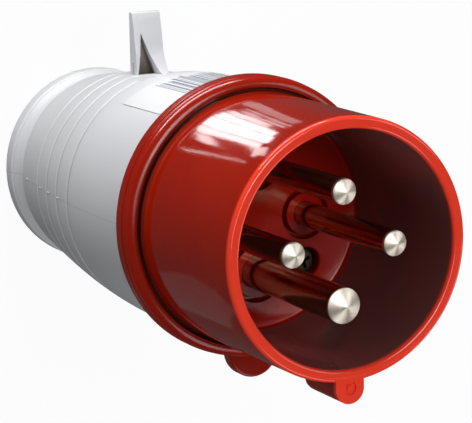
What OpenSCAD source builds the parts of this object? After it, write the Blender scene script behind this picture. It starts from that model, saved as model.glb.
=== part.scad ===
// Industrial pin and sleeve plug: three phase pins and an earth pin in a keyed red shroud,
// a light grey tapered handle with a catch fin, and a screwed cable gland in its rear end.
// The axis is +Z. The rear ring stands on Z = 0, the mouth faces up, and the fin is on the +Y side.

/* [Overall] */
// Length from the rear ring to the rim of the mouth
overall_l = 118; // [116:1:130]

/* [Shroud] */
// Outer diameter at the rim of the mouth
mouth_d = 50; // [49.4:0.1:50.6]
// Wall thickness at the rim
shroud_wall = 2.4; // [2:0.1:2.8]
// Depth from the rim to the base wall
shroud_depth = 37; // [34:0.5:39]
// Draft: how much the wall thickens on each side between the rim and the base wall
draft = 0.3; // [0.1:0.1:0.4]
// Rounding of the two edges of the rim
rim_round = 0.8; // [0.4:0.1:0.9]
// Thickness of the base wall that carries the pins
base_t = 7; // [6.6:0.1:8]

/* [Collar] */
// Diameter of the collar
collar_d = 56.7; // [56:0.1:60]
// Width of the collar along the axis
collar_w = 5.2; // [4.8:0.1:6.4]
// Rounding of the collar's front edge
collar_round = 2; // [0.8:0.1:2.2]
// Radius of the half-round tab under the collar
tab_r = 5.5; // [4.5:0.1:6.5]
// How far the tab stands out of the collar
tab_out = 4.5; // [3.5:0.1:5]
// Thickness of the tab
tab_t = 3.3; // [2.5:0.1:4.5]

/* [Key rib] */
// Width of the key rib under the mouth
key_w = 6; // [5:0.1:7]
// How far the key rib stands out of the mouth's outer wall
key_out = 4.2; // [3.6:0.1:5]
// Length of the key rib
key_l = 12; // [9:0.5:16]
// Rounding of the key rib's rear corner
key_round = 2; // [1:0.1:3]

/* [Pins] */
// Radius of the circle that the pins stand on
pin_circle_r = 10.8; // [10.6:0.05:11.1]
// Diameter of a phase pin
phase_d = 5; // [4.8:0.05:5.2]
// Diameter of the earth pin
earth_d = 7; // [6.6:0.1:7.2]
// How far the pin tips lie inside the mouth
tip_inset = 0.7; // [0.3:0.1:3]
// Height of a tip's cone as a share of the pin's radius
tip_slope = 0.42; // [0.25:0.01:0.6]
// Width of the moulded sleeve that rings each pin in the base wall
sleeve_w = 1.65; // [1.5:0.05:1.8]
// Width of the moat around that sleeve
moat_w = 1.1; // [0.8:0.05:1.2]
// Depth of the moat
moat_depth = 2; // [1:0.1:2.2]
// Thickness of the flange that seats each pin in the base wall
flange_t = 3.5; // [3:0.1:4]
// How far the flange stands out of the pin
flange_out = 1.7; // [1.4:0.05:1.8]

/* [Terminals] */
// Diameter of a phase terminal
terminal_d = 7.2; // [6.8:0.1:7.6]
// Diameter of the earth terminal
earth_terminal_d = 8.8; // [8.4:0.1:9.2]
// Length of a terminal behind the base wall
terminal_l = 16; // [15:0.5:19]
// Diameter of the wire hole in a phase terminal
wire_d = 3.2; // [2.6:0.1:3.4]
// Diameter of the wire hole in the earth terminal
earth_wire_d = 3.8; // [3.2:0.1:4.2]
// Diameter of a terminal screw
terminal_screw_d = 3.2; // [2.6:0.1:3.4]
// Diameter of a terminal screw's head
terminal_head_d = 5; // [4.6:0.1:5.4]
// Height of a terminal screw's head
terminal_head_h = 1.8; // [1.4:0.1:2]
// Distance from a terminal's rear end to its screw
terminal_screw_z = 4.5; // [4:0.1:5.5]
// Depth of a terminal's wire hole
wire_depth = 9; // [8:0.5:10]

/* [Cord bridge] */
// Thickness of the plate that holds the pins in
plate_t = 3; // [2.4:0.1:3.6]
// Room between the grommet's seat and the cable clamp
bridge_gap = 7; // [5:0.5:9]
// Width of the bridge's arms
arm_w = 9; // [7:0.5:10]
// Length of the cable clamp along the axis
clamp_l = 8; // [7:0.5:9]
// Diameter of the cable channel when the clamp is closed
clamp_bore_d = 13; // [11:0.5:14]
// Thickness of the clamp saddle
saddle_t = 2.5; // [2:0.1:2.8]
// Thickness of the clamp seat under the cable
clamp_seat_t = 2; // [1.5:0.1:3]
// Thickness of the bridge's arms
arm_t = 4; // [3.4:0.1:4.4]
// How far the arms stand outside the front screws' circle
arm_over = 1.6; // [1.2:0.1:1.8]

/* [Screws] */
// Radius of the circle that the two front screws stand on
screw_circle_r = 14.9; // [14.7:0.05:15.1]
// Angle of the first front screw, seen from the front
screw_angle = -42; // [-44:0.5:-40]
// Diameter of a front screw
screw_d = 3.4; // [3:0.1:3.6]
// Diameter of a front screw's head
screw_head_d = 5.4; // [5:0.1:5.5]
// Depth of the hole that sinks a front screw's head
screw_sink = 3.5; // [2.8:0.1:3.8]
// Length of a front screw under its head
screw_l = 27; // [20:1:32]
// Height of a front screw's head
front_head_h = 2; // [1.6:0.1:2.4]
// Diameter of the clamp screws and of the plate's screw
small_screw_d = 3; // [2.5:0.1:3.2]
// Diameter of those screws' heads
small_head_d = 5.3; // [5:0.1:5.6]
// Height of those screws' heads
small_head_h = 2; // [1.6:0.1:2.4]
// How far the plate's screw reaches into the base wall
bridge_bite = 5; // [4:0.5:5.5]
// How far the clamp screws reach into the clamp seat
clamp_bite = 5; // [4:0.5:5.5]

/* [Handle] */
// Diameter of the handle's front end
handle_d = 52.4; // [52:0.1:52.8]
// Wall thickness of the handle
handle_wall = 2.6; // [2.4:0.05:2.8]
// Diameter at the narrow end of the taper
neck_d = 42.9; // [42.5:0.1:44.5]
// Length of the taper
taper_l = 50; // [44:1:52]
// Diameter of the rear ring
ring_d = 43.5; // [42.5:0.1:45]
// Width of the rear ring
ring_w = 4; // [3.4:0.1:4.6]
// Width of the cove between the ring and the taper
cove_w = 6; // [5:0.2:7]
// Depth of the cove
cove_depth = 1.5; // [0.8:0.1:1.7]
// Number of grooves round the taper
groove_n = 4; // [2:1:5]
// Distance from one groove to the next
groove_pitch = 7.3; // [6:0.1:7.8]
// Place of the rearmost groove
groove_first = 23.2; // [20:0.2:24]
// Width of a groove
groove_w = 1.2; // [0.6:0.1:1.8]
// Depth of a groove
groove_depth = 0.6; // [0.3:0.05:0.9]
// Diameter of the two screw posts
post_d = 6.8; // [6.2:0.1:7]
// Length of the spigot that enters the handle
spigot_l = 8; // [6:0.5:9]
// Wall thickness of the spigot
spigot_wall = 2; // [1.6:0.1:2.2]
// Depth of the groove that takes the handle's front edge
lip_depth = 2.4; // [2:0.1:2.8]
// Thickness of the seal in that groove
seal_t = 1; // [0.8:0.1:1.4]

/* [Catch fin] */
// Height of the fin's top above the axis
fin_top = 36.8; // [33:0.2:39]
// Place of the fin's rear face
fin_z = 28.7; // [26:0.1:31]
// Width of the fin
fin_w = 6.6; // [5.6:0.1:8]
// Thickness of the fin at its top
fin_plate_t = 1.8; // [1.4:0.1:2.2]
// Thickness of the fin at its middle
fin_t = 3.3; // [2.8:0.1:4]
// Length of the fin's foot on the handle
fin_foot = 8.6; // [7:0.1:10]
// Thickness of the fin's two side walls at the foot
fin_side = 0.75; // [0.6:0.05:1.2]
// Height of the fin's thin tip above its thick middle
fin_tip = 3.6; // [3:0.1:4.4]
// Height of the flare at the fin's foot
fin_flare = 2.4; // [1.8:0.1:3]
// Distance from the fin's top to its hollow
fin_hollow = 2.6; // [2.2:0.1:3.2]

/* [Cable gland] */
// Diameter of the recess in the rear end
recess_d = 35.2; // [34.6:0.1:35.6]
// Depth of that recess
recess_depth = 3; // [2.5:0.1:4]
// Diameter of the threaded bore
thread_d = 33.6; // [33:0.1:34]
// Length of the gland nut
nut_h = 9; // [7:0.5:10]
// Diameter of the nut's cable hole
nut_bore_d = 17.2; // [16:0.2:18]
// Number of grip ribs in the nut's rear face
nut_ribs = 8; // [6:1:10]
// Thickness of a grip rib
rib_t = 1.6; // [1.2:0.1:2]
// Wall around the nut's cable hole
hub_wall = 1.6; // [1.2:0.1:2]
// Wall under the nut's thread
rim_wall = 2.4; // [2:0.1:2.8]
// Depth of the nut's ring pocket
pocket_depth = 5; // [4:0.1:5.6]
// Thickness of the slip ring
slip_t = 1.5; // [1:0.1:2]
// Thickness of the grommet's flange
grommet_flange_t = 2.3; // [1.8:0.1:3]
// Diameter of the grommet's body
grommet_d = 28; // [26:0.2:28.6]
// Length of the grommet's body
grommet_l = 11; // [9:0.5:12]
// Diameter of the grommet's cable hole
cable_d = 13; // [10:0.5:14]

/* [Clearances] */
// Radial gap of the nut in its thread
thread_gap = 0.08; // [0.05:0.01:0.09]
// Gap between pieces that slide into one another
slip_gap = 0.1; // [0.05:0.01:0.15]
// Radial gap of a screw or a pin's neck in its hole
screw_gap = 0.05; // [0.03:0.01:0.08]
// Gap round a screw's head in the hollow that sinks it
head_gap = 0.3; // [0.2:0.05:0.4]
// Radial gap of the slip ring and the grommet's flange in the thread
washer_gap = 0.4; // [0.3:0.05:0.6]
// Radial gap of the bridge's plate in the spigot
plate_gap = 0.5; // [0.3:0.05:0.8]

/* [Hidden] */
$fn = 96;
eps = 0.01;
// How far a cut runs past the face that it starts from
over = 1;

// Walls and edges that follow no other size
edge_round = 0.8;
root_round = 0.6;
seat_wall = 2.5;
web_t = 3;
web_lip = 5;
cavity_floor_gap = 3;
neck_step = 0.3;
core_chamfer = 0.5;
terminal_chamfer = 0.4;
terminal_flat_depth = 0.3;
terminal_tip_gap = 0.6;
pin_nose = 0.2;
mark_r = 1.32;
mark_nib_r = 0.6;
mark_depth = 0.3;
slot_w = 0.8;
cross_w = 0.9;
cross_l = 3.8;
cross_depth = 1.1;
thread_relief = 0.5;
fin_crown = 0.5;
fin_crown_w = 0.4;
hollow_crown_w = 0.8;
grommet_nose = [1.5, 2];
rib_inset = 0.8;
phase_angles = [180, 90, 0];
earth_angle = 270;
bridge_angle = 45;

// Stations along the axis
z_base = overall_l - shroud_depth;
z_back = z_base - base_t;
z_collar = z_base - collar_w;
z_spigot = z_collar - spigot_l;
z_groove = z_collar + lip_depth;
z_edge = z_groove - seal_t;
z_plate = z_back - plate_t;
z_terminal = z_back - terminal_l;
z_screw = z_terminal + terminal_screw_z;
z_sink = z_base - screw_sink;
z_tip = overall_l - tip_inset;
z_neck = ring_w + cove_w;
z_full = z_neck + taper_l;
z_slip = recess_depth + nut_h + slip_gap;
z_grommet = z_slip + slip_t + slip_gap;
z_shoulder = z_grommet + grommet_flange_t;
z_seat = z_shoulder + grommet_l;
z_bridge = z_seat + web_t + bridge_gap;
bridge_l = z_back - z_bridge;

// Radii
mouth_r = mouth_d / 2;
root_r = mouth_r + draft;
cavity_r = mouth_r - shroud_wall;
base_r = cavity_r - draft;
collar_r = collar_d / 2;
handle_r = handle_d / 2;
bore_r = handle_r - handle_wall;
spigot_r = bore_r - slip_gap;
lip_r = handle_r + slip_gap;
neck_r = neck_d / 2;
ring_r = ring_d / 2;
thread_r = thread_d / 2;
seat_r = grommet_d / 2 + slip_gap;
screw_hole_r = screw_head_d / 2 + head_gap;
arm_out = screw_circle_r + arm_over;
clamp_screw_x = arm_out - arm_t;
clamp_bore_r = clamp_bore_d / 2;
clamp_floor = clamp_bore_r + clamp_seat_t;

// Points of an arc, from angle a to angle b
function arc(c, r, a, b, n = 6) = [for (i = [0:n]) let(t = a + (b - a) * i / n) c + r * [cos(t), sin(t)]];

// Outer radius of the handle's taper at height z, without its grooves
function taper_r(z) = neck_r + (handle_r - neck_r) * sin(90 * min(1, max(0, (z - z_neck) / taper_l)));

// Heights at which the taper's outline has a point, with three for each groove
groove_z = [for (i = [0:groove_n - 1]) groove_first + groove_pitch * i];
groove_points = [for (z = groove_z) each [z - groove_w / 2, z, z + groove_w / 2]];
taper_keys = concat([z_neck], groove_points, [z_full]);
taper_step = 2.4;
function split(a, b) = let(n = max(1, ceil((b - a) / taper_step)))
    [for (i = [0:n - 1]) a + (b - a) * i / n];
taper_z = concat(
    [for (i = [0:len(taper_keys) - 2]) each split(taper_keys[i], taper_keys[i + 1])], [z_full]);
function groove_at(z) = max([for (g = groove_z) max(0, 1 - abs(z - g) * 2 / groove_w)]);
taper_outline = [for (z = taper_z) [taper_r(z) - groove_depth * groove_at(z), z]];

// The cove, a sine hollow from the ring's edge to the taper
cove_n = 8;
cove_outline = [for (i = [1:cove_n - 1]) let(s = i / cove_n)
    [ring_r + (neck_r - ring_r) * s - cove_depth * sin(180 * s), ring_w + cove_w * s]];

module at_circle(r, angle) {
    translate([r * cos(angle), r * sin(angle), 0]) children();
}

module tube(h, outer_r, inner_r) {
    difference() {
        cylinder(h = h, r = outer_r);
        translate([0, 0, -over]) cylinder(h = h + 2 * over, r = inner_r);
    }
}

// ---- Red shroud ----

// Outline of the wall, collar, base wall and spigot, turned about the axis
module shroud_outline() {
    rim_outer = mouth_r - rim_round;
    rim_inner = cavity_r + rim_round;
    rim_z = overall_l - rim_round;
    polygon(concat(
        [[0, z_back], [spigot_r - spigot_wall, z_back], [spigot_r - spigot_wall, z_spigot]],
        [[spigot_r - core_chamfer, z_spigot], [spigot_r, z_spigot + core_chamfer], [spigot_r, z_collar]],
        [[collar_r - core_chamfer, z_collar], [collar_r, z_collar + core_chamfer]],
        arc([collar_r - collar_round, z_base - collar_round], collar_round, 0, 90, 8),
        arc([root_r + root_round, z_base + root_round], root_round, 270, 180, 4),
        arc([rim_outer, rim_z], rim_round, 0, 90),
        arc([rim_inner, rim_z], rim_round, 90, 180),
        [[base_r, z_base], [0, z_base]]));
}

// The key rib: a bar with a half-round outer edge and a rounded rear corner
module key_rib() {
    half = key_w / 2;
    crown = mouth_r + key_out;
    z_rear = overall_l - key_l;
    inner = cavity_r + shroud_wall / 2;
    intersection() {
        translate([0, 0, z_rear]) linear_extrude(key_l) {
            translate([0, -(crown - half)]) circle(half);
            translate([-half, -(crown - half)]) square([key_w, crown - half - inner]);
        }
        rotate([0, -90, 0]) linear_extrude(2 * key_w, center = true) polygon(concat(
            [[z_rear, 0], [overall_l + over, 0]],
            [[overall_l + over, -crown - over], [overall_l, -crown - over]],
            [[overall_l, -crown - eps]],
            arc([z_rear + key_round, -crown - eps + key_round], key_round, 270, 180)));
    }
}

module shroud() color([0.8, 0.09, 0.06]) {
    difference() {
        union() {
            rotate_extrude() shroud_outline();
            key_rib();
            translate([0, -(collar_r + tab_out - tab_r), z_collar]) cylinder(h = tab_t, r = tab_r);
        }
        // Groove in the collar's rear for the seal and the handle's edge
        translate([0, 0, z_collar - over]) tube(lip_depth + over, lip_r, spigot_r);
        for (a = phase_angles) at_circle(pin_circle_r, a) pin_seat(phase_d);
        at_circle(pin_circle_r, earth_angle) pin_seat(earth_d);
        for (a = [screw_angle, screw_angle + 180]) at_circle(screw_circle_r, a) {
            translate([0, 0, z_back - over]) cylinder(h = base_t + 2 * over, r = screw_d / 2 + slip_gap);
            translate([0, 0, z_sink]) cylinder(h = screw_sink + over, r = screw_hole_r);
        }
        translate([0, 0, z_back - over])
            cylinder(h = over + bridge_bite + thread_relief, r = small_screw_d / 2 + screw_gap);
        // Round mould mark on the key rib's front face
        translate([0, -(mouth_r + key_out - key_w / 2), overall_l - mark_depth]) difference() {
            cylinder(h = mark_depth + over, r = mark_r);
            translate([0, 0, -over]) cylinder(h = over + mark_depth / 2, r = mark_nib_r);
        }
    }
}

// Hole, moat and flange pocket for one pin
module pin_seat(d) {
    sleeve_r = d / 2 + sleeve_w;
    translate([0, 0, z_back - over]) cylinder(h = base_t + 2 * over, r = d / 2 + neck_step + screw_gap);
    translate([0, 0, z_back - over]) cylinder(h = flange_t + over, r = d / 2 + flange_out + slip_gap);
    translate([0, 0, z_base - moat_depth]) tube(moat_depth + over, sleeve_r + moat_w, sleeve_r);
}

module seal_ring() color([0.12, 0.12, 0.12])
    translate([0, 0, z_edge]) tube(seal_t, lip_r - slip_gap, spigot_r + slip_gap);

// ---- Pins and their terminals ----

// Distance from a terminal's axis to the flat that its screw's head bears on
function terminal_flat(rear_d) = rear_d / 2 - terminal_flat_depth;

// A turned pin: conical tip, shank, neck, flange and a round terminal with its wire hole
module pin(d, rear_d, hole_d) {
    r = d / 2;
    rear_r = rear_d / 2;
    z_cone = z_tip - r * tip_slope;
    head_w = terminal_head_d + 2 * head_gap;
    difference() {
        rotate_extrude() polygon([
            [0, z_terminal], [rear_r - terminal_chamfer, z_terminal],
            [rear_r, z_terminal + terminal_chamfer], [rear_r, z_back],
            [r + flange_out, z_back], [r + flange_out, z_back + flange_t],
            [r + neck_step, z_back + flange_t], [r + neck_step, z_base], [r, z_base],
            [r, z_cone - pin_nose], [r - pin_nose, z_cone], [pin_nose, z_tip - pin_nose / 4], [0, z_tip]]);
        translate([0, 0, z_terminal - over]) cylinder(h = wire_depth + over, r = hole_d / 2);
        translate([0, 0, z_screw]) rotate([0, 90, 0])
            cylinder(h = rear_d, r = terminal_screw_d / 2 + screw_gap);
        translate([terminal_flat(rear_d), -rear_d, z_screw - head_w / 2])
            cube([rear_d, 2 * rear_d, head_w]);
    }
}

module brass_pin(angle, d, rear_d, hole_d) color([0.86, 0.83, 0.76])
    rotate([0, 0, angle]) translate([pin_circle_r, 0, 0]) pin(d, rear_d, hole_d);

module phase_pin(i) brass_pin(phase_angles[i], phase_d, terminal_d, wire_d);
module earth_pin() brass_pin(earth_angle, earth_d, earth_terminal_d, earth_wire_d);

// A cheese-head screw along +Z: the head's underside is at z = 0 and the shank goes down
module slotted_screw(d, head_d, l, head_h) {
    difference() {
        union() {
            cylinder(h = head_h, r = head_d / 2);
            translate([0, 0, -l]) cylinder(h = l + eps, r = d / 2);
        }
        translate([-head_d, -slot_w / 2, head_h / 2]) cube([2 * head_d, slot_w, head_h]);
    }
}

module terminal_screw(angle, rear_d) color([0.75, 0.75, 0.72])
    rotate([0, 0, angle]) translate([pin_circle_r + terminal_flat(rear_d), 0, z_screw]) rotate([0, 90, 0])
        slotted_screw(terminal_screw_d, terminal_head_d, terminal_flat(rear_d) - terminal_tip_gap,
            terminal_head_h);

// ---- Cord bridge, clamp and screws ----

module cord_bridge() color([0.16, 0.16, 0.17]) {
    difference() {
        union() {
            translate([0, 0, z_plate]) cylinder(h = plate_t, r = spigot_r - spigot_wall - plate_gap);
            rotate([0, 0, bridge_angle]) {
                for (s = [-1, 1]) translate([s * (arm_out - arm_t / 2), 0, z_bridge + (bridge_l - plate_t) / 2])
                    cube([arm_t, arm_w, bridge_l - plate_t], center = true);
                translate([-arm_out, -clamp_floor, z_bridge]) cube([2 * arm_out, clamp_floor, clamp_l]);
            }
        }
        for (a = phase_angles) at_circle(pin_circle_r, a) plate_hole(terminal_d);
        at_circle(pin_circle_r, earth_angle) plate_hole(earth_terminal_d);
        for (a = [screw_angle, screw_angle + 180]) at_circle(screw_circle_r, a) plate_hole(screw_d);
        plate_hole(small_screw_d);
        translate([0, 0, z_bridge - over]) cylinder(h = clamp_l + 2 * over, r = clamp_bore_r);
        rotate([0, 0, bridge_angle]) {
            // The half of the arms above the clamp's parting face is cut back for the saddle
            translate([-arm_out - over, 0, z_bridge - over])
                cube([2 * (arm_out + over), arm_w, clamp_l + over + slip_gap]);
            for (s = [-1, 1]) translate([s * clamp_screw_x, over, z_bridge + clamp_l / 2])
                rotate([90, 0, 0])
                    cylinder(h = clamp_bite + thread_relief + over, r = small_screw_d / 2 + screw_gap);
        }
    }
}

module plate_hole(d) {
    translate([0, 0, z_plate - over]) cylinder(h = plate_t + 2 * over, r = d / 2 + slip_gap);
}

module bridge_screw() color([0.75, 0.75, 0.72])
    translate([0, 0, z_plate]) mirror([0, 0, 1])
        slotted_screw(small_screw_d, small_head_d, plate_t + bridge_bite, small_head_h);

module clamp_saddle() color([0.16, 0.16, 0.17]) rotate([0, 0, bridge_angle])
    translate([0, 0, z_bridge]) difference() {
        linear_extrude(clamp_l) difference() {
            union() {
                intersection() {
                    circle(clamp_bore_r + saddle_t);
                    translate([-arm_out, 0]) square([2 * arm_out, arm_out]);
                }
                translate([-arm_out, 0]) square([2 * arm_out, saddle_t]);
            }
            circle(clamp_bore_r);
        }
        for (s = [-1, 1]) translate([s * clamp_screw_x, saddle_t + over, clamp_l / 2]) rotate([90, 0, 0])
            cylinder(h = saddle_t + 2 * over, r = small_screw_d / 2 + slip_gap);
    }

module clamp_screw(side) color([0.75, 0.75, 0.72]) rotate([0, 0, bridge_angle])
    translate([side * clamp_screw_x, saddle_t, z_bridge + clamp_l / 2]) rotate([-90, 0, 0])
        slotted_screw(small_screw_d, small_head_d, saddle_t + clamp_bite, small_head_h);

module front_screw(angle) color([0.75, 0.75, 0.72])
    at_circle(screw_circle_r, angle) translate([0, 0, z_sink]) difference() {
        union() {
            cylinder(h = front_head_h, r = screw_head_d / 2);
            translate([0, 0, -screw_l]) cylinder(h = screw_l + eps, r = screw_d / 2);
        }
        for (a = [0, 90]) rotate([0, 0, a])
            translate([-cross_w / 2, -cross_l / 2, front_head_h - cross_depth])
                cube([cross_w, cross_l, cross_depth + over]);
    }

// ---- Grey handle ----

// Outline of the hollow handle, turned about the axis
module handle_outline() {
    z_floor = z_shoulder + cavity_floor_gap;
    seat_out = seat_r + seat_wall;
    recess_r = recess_d / 2;
    inner_z = [for (z = taper_z) if (z > z_floor + taper_step / 2) z];
    inner_wall = [for (i = [len(inner_z) - 1:-1:0]) [taper_r(inner_z[i]) - handle_wall, inner_z[i]]];
    polygon(concat(
        [[recess_r, 0]],
        arc([ring_r - edge_round, edge_round], edge_round, 270, 360, 4),
        arc([ring_r - edge_round, ring_w - edge_round], edge_round, 0, 60, 4),
        cove_outline,
        taper_outline,
        [[handle_r, z_edge], [bore_r, z_edge]],
        inner_wall,
        [[taper_r(z_floor) - handle_wall, z_floor], [seat_out, z_floor], [seat_out, z_seat + web_t]],
        [[seat_r - web_lip, z_seat + web_t], [seat_r - web_lip, z_seat]],
        [[seat_r, z_seat], [seat_r, z_shoulder]],
        [[thread_r, z_shoulder], [thread_r, recess_depth], [recess_r, recess_depth]]));
}

// The catch fin: a plate on its rear side, two side walls and a hollow that widens to the foot
module fin() {
    foot_z = fin_z + fin_foot;
    rear_y = taper_r(fin_z) - handle_wall / 2;
    foot_y = taper_r(foot_z);
    tip_y = fin_top - fin_tip;
    tip_z = fin_z + fin_plate_t;
    flare_y = foot_y + fin_flare;
    front_z = fin_z + fin_t;
    hollow_y = fin_top - fin_hollow;
    hollow_x = fin_w / 2 - fin_side;
    difference() {
        rotate([0, -90, 0]) linear_extrude(fin_w, center = true) polygon(concat(
            [[fin_z, rear_y], [foot_z, foot_y - handle_wall / 2], [foot_z, foot_y]],
            [for (i = [1:5]) let(s = i / 6)
                [foot_z + (front_z - foot_z) * s, foot_y + (flare_y - foot_y) * s * s]],
            [[front_z, flare_y], [front_z, tip_y], [tip_z, fin_top - fin_crown]],
            [[tip_z - fin_crown_w, fin_top], [fin_z, fin_top]]));
        translate([0, 0, tip_z]) linear_extrude(fin_foot + over) polygon([
            [-hollow_x, neck_r], [hollow_x, neck_r], [hollow_x, foot_y],
            [hollow_crown_w, hollow_y], [-hollow_crown_w, hollow_y], [-hollow_x, foot_y]]);
    }
}

module handle() color([0.86, 0.86, 0.87]) {
    z_floor = z_shoulder + cavity_floor_gap;
    difference() {
        union() {
            rotate_extrude() handle_outline();
            fin();
            for (a = [screw_angle, screw_angle + 180]) at_circle(screw_circle_r, a)
                translate([0, 0, z_floor - over]) cylinder(h = z_plate - z_floor + over, r = post_d / 2);
        }
        translate([0, 0, z_shoulder - over]) cylinder(h = grommet_l + over, r = seat_r);
        for (a = [screw_angle, screw_angle + 180]) at_circle(screw_circle_r, a)
            translate([0, 0, z_sink - screw_l - thread_relief])
                cylinder(h = screw_l, r = screw_d / 2 + screw_gap);
    }
}

// ---- Cable gland ----

module grommet() color([0.1, 0.1, 0.1]) rotate_extrude() polygon([
    [cable_d / 2, z_grommet], [thread_r - washer_gap, z_grommet], [thread_r - washer_gap, z_shoulder],
    [grommet_d / 2, z_shoulder], [grommet_d / 2, z_seat - grommet_nose[1]],
    [grommet_d / 2 - grommet_nose[0], z_seat], [cable_d / 2, z_seat]]);

module slip_ring() color([0.9, 0.9, 0.88])
    translate([0, 0, z_slip]) tube(slip_t, thread_r - washer_gap, nut_bore_d / 2);

// The gland nut, with a ring pocket in its rear face crossed by grip ribs
module gland_nut() color([0.8, 0.8, 0.81]) translate([0, 0, recess_depth]) {
    nut_r = thread_r - thread_gap;
    hub_r = nut_bore_d / 2 + hub_wall;
    rim_r = nut_r - rim_wall;
    difference() {
        union() {
            difference() {
                cylinder(h = nut_h, r = nut_r);
                translate([0, 0, -over]) tube(pocket_depth + over, rim_r, hub_r);
            }
            for (i = [0:nut_ribs - 1]) rotate([0, 0, 360 * (i + 0.5) / nut_ribs])
                translate([hub_r - hub_wall / 2, -rib_t / 2, rib_inset])
                    cube([rim_r - hub_r + (hub_wall + rim_wall) / 2, rib_t, pocket_depth]);
        }
        translate([0, 0, -over]) cylinder(h = nut_h + 2 * over, r = nut_bore_d / 2);
    }
}

shroud();
seal_ring();
phase_pin(0);  // phase_pin_left
phase_pin(1);  // phase_pin_top
phase_pin(2);  // phase_pin_right
earth_pin();
terminal_screw(phase_angles[0], terminal_d);  // terminal_screw_left
terminal_screw(phase_angles[1], terminal_d);  // terminal_screw_top
terminal_screw(phase_angles[2], terminal_d);  // terminal_screw_right
terminal_screw(earth_angle, earth_terminal_d);  // terminal_screw_earth
cord_bridge();
bridge_screw();
clamp_saddle();
clamp_screw(1);  // clamp_screw_1
clamp_screw(-1);  // clamp_screw_2
front_screw(screw_angle);  // front_screw_1
front_screw(screw_angle + 180);  // front_screw_2
handle();
grommet();
slip_ring();
gland_nut();
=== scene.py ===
# %% [markdown]
# # An industrial pin and sleeve plug
# The plug stands on its rear ring with its mouth up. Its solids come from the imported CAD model, and
# this lesson dresses them: each cell models one piece finely, gives it a finish and says what it
# rides on. Lengths are in millimetres unless a comment says metres, and are turned into metres
# where a mesh is made.

# %% Load the frame
from math import atan2, cos, degrees, hypot, pi, radians, sin
import bmesh
import bpy
from mathutils import Matrix, Vector


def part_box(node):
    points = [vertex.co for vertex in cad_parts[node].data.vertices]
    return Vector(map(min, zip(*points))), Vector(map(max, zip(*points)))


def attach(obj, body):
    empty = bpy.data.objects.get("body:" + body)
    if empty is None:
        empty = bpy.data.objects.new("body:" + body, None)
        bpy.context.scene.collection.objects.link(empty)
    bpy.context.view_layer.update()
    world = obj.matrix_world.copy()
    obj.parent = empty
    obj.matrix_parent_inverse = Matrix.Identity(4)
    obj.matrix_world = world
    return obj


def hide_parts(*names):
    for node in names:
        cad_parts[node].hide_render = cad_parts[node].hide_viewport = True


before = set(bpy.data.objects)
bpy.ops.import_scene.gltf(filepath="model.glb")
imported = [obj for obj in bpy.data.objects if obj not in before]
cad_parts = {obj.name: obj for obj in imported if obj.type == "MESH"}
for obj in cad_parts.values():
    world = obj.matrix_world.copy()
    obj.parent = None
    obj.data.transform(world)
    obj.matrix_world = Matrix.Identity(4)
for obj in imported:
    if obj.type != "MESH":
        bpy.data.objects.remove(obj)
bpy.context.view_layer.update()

# %% [markdown]
# ## Sizes from the CAD model
# The dressed plug has to fit its solids, so the leading sizes are read from the boxes of the CAD
# nodes. They are rounded, because a box is kept in short floating numbers.

# %% Units and sides
MM = 0.001
LOW, HIGH = 0, 1
X, Y, Z = 0, 1, 2


def cad_side(node, end, axis):
    """Where the box of a CAD node ends along an axis, in millimetres."""
    return round(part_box(node)[end][axis] / MM, 2)


def cad_middle(node):
    """The middle of a CAD node's box as seen from above, in millimetres."""
    low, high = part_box(node)
    return [(low[axis] + high[axis]) / 2 / MM for axis in (X, Y)]


def on_circle(radius, angle):
    """The point of a circle about the upright axis at an angle in degrees."""
    return radius * cos(radians(angle)), radius * sin(radians(angle))


print("length of the plug:", cad_side("shroud", HIGH, Z))

# %% [markdown]
# ## Helpers for modelling
# A turned piece is drawn as a half outline, one point after the other, and spun about its axis.
# That is how a lathe or a mould core makes it, and it gives clean rings of faces. Anything that
# isn't round is a primitive shaped in edit mode, then joined or cut with a Boolean modifier.

# %% Helpers: objects and selection
def only(obj):
    """Leaves obj as the one selected and active object."""
    if bpy.context.object and bpy.context.object.mode != "OBJECT":
        bpy.ops.object.mode_set(mode="OBJECT")
    bpy.ops.object.select_all(action="DESELECT")
    obj.select_set(True)
    bpy.context.view_layer.objects.active = obj


def edit(obj):
    """Opens obj in edit mode with nothing selected."""
    only(obj)
    bpy.ops.object.mode_set(mode="EDIT")
    bpy.ops.mesh.select_mode(type="VERT")
    bpy.ops.mesh.select_all(action="DESELECT")


def pick(obj, kind, test):
    """In edit mode, selects the vertices or faces that pass the test, and nothing else."""
    bpy.ops.mesh.select_all(action="DESELECT")
    mesh = bmesh.from_edit_mesh(obj.data)
    for part in getattr(mesh, kind):
        if test(part):
            part.select_set(True)
    if kind == "verts":
        mesh.select_flush(True)
    bmesh.update_edit_mesh(obj.data)


def settle(obj):
    """Moves an object's place into its mesh."""
    only(obj)
    bpy.ops.object.transform_apply(location=True, rotation=True, scale=True)
    return obj


def named(obj, name):
    """Gives an object and its mesh one name."""
    obj.name = obj.data.name = name
    return obj


def merge_doubles(distance=0.0005):
    """In edit mode, selects everything and merges the points that lie on each other."""
    bpy.ops.mesh.select_all(action="SELECT")
    bpy.ops.mesh.remove_doubles(threshold=distance * MM)
    bpy.ops.mesh.select_all(action="SELECT")


def close(obj, name):
    """Merges doubled points, turns the faces outwards, leaves edit mode and names the piece."""
    merge_doubles()
    bpy.ops.mesh.normals_make_consistent(inside=False)
    bpy.ops.object.mode_set(mode="OBJECT")
    return named(obj, name)


def copy_of(piece, name, turn=0, move=(0, 0, 0)):
    """A copy with a mesh of its own, turned about the upright axis and then moved."""
    twin = piece.copy()
    twin.data = piece.data.copy()
    bpy.context.scene.collection.objects.link(twin)
    twin.rotation_euler = (0, 0, radians(turn))
    twin.location = [c * MM for c in move]
    return named(settle(twin), name)


def discard(obj):
    """Removes a tool or a model that has been copied."""
    bpy.data.objects.remove(obj, do_unlink=True)


# %% Helpers: outlines and turned pieces
RING = 192
SAME_POINT = 0.002


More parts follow.
